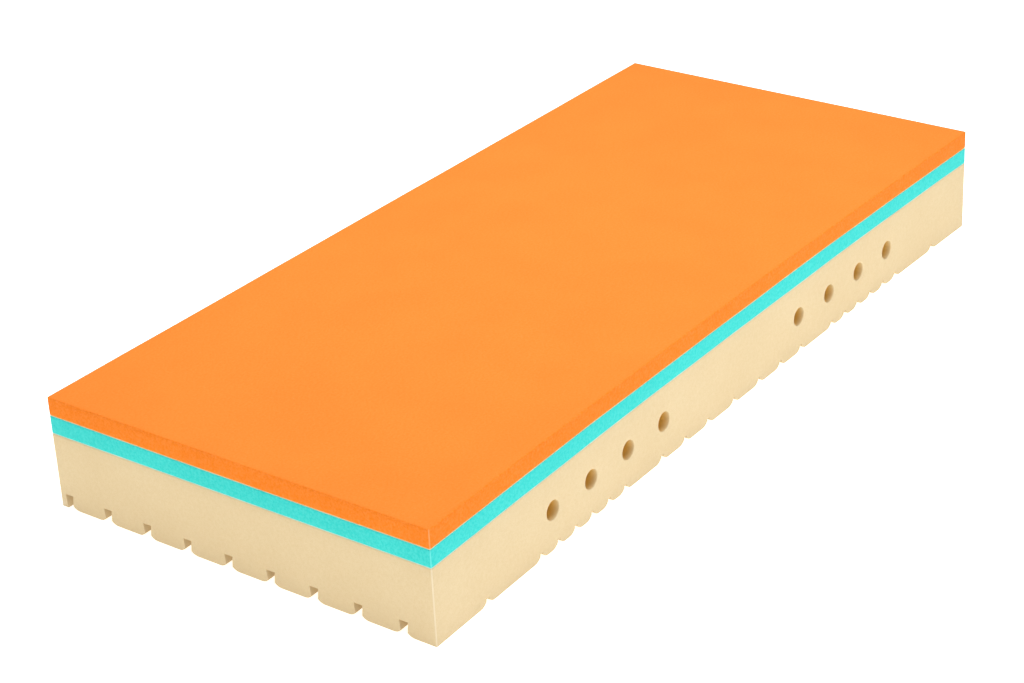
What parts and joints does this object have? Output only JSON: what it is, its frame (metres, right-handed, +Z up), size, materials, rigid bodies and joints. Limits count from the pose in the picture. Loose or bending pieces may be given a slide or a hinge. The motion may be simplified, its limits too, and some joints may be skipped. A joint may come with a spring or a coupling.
{
  "type": "memory foam mattress",
  "caption": "Bare foam mattress core: memory foam and resilient foam slabs on a grooved base core with cross vent channels.",
  "frame": {"origin": "on the floor under the middle of the mattress, in the plane of the base core's underside", "axes": "+X along the length, +Y across the width, +Z up to the sleeping surface; the lengthwise grooves are counted from the -Y long side"},
  "size_m": [2, 0.9, 0.235],
  "materials": {
    "memory_foam": "matt open-cell memory foam, orange",
    "resilient_foam": "matt open-cell resilient foam, turquoise",
    "base_foam": "matt open-cell cold-cure foam, cream",
    "glue": "thin pale film of dried adhesive"
  },
  "bodies": {
    "root": {"memory_foam_top": "memory_foam", "upper_glue_film": "glue", "resilient_middle_layer": "resilient_foam", "lower_glue_film": "glue", "ventilated_base_core": "base_foam"}
  },
  "joints": []
}
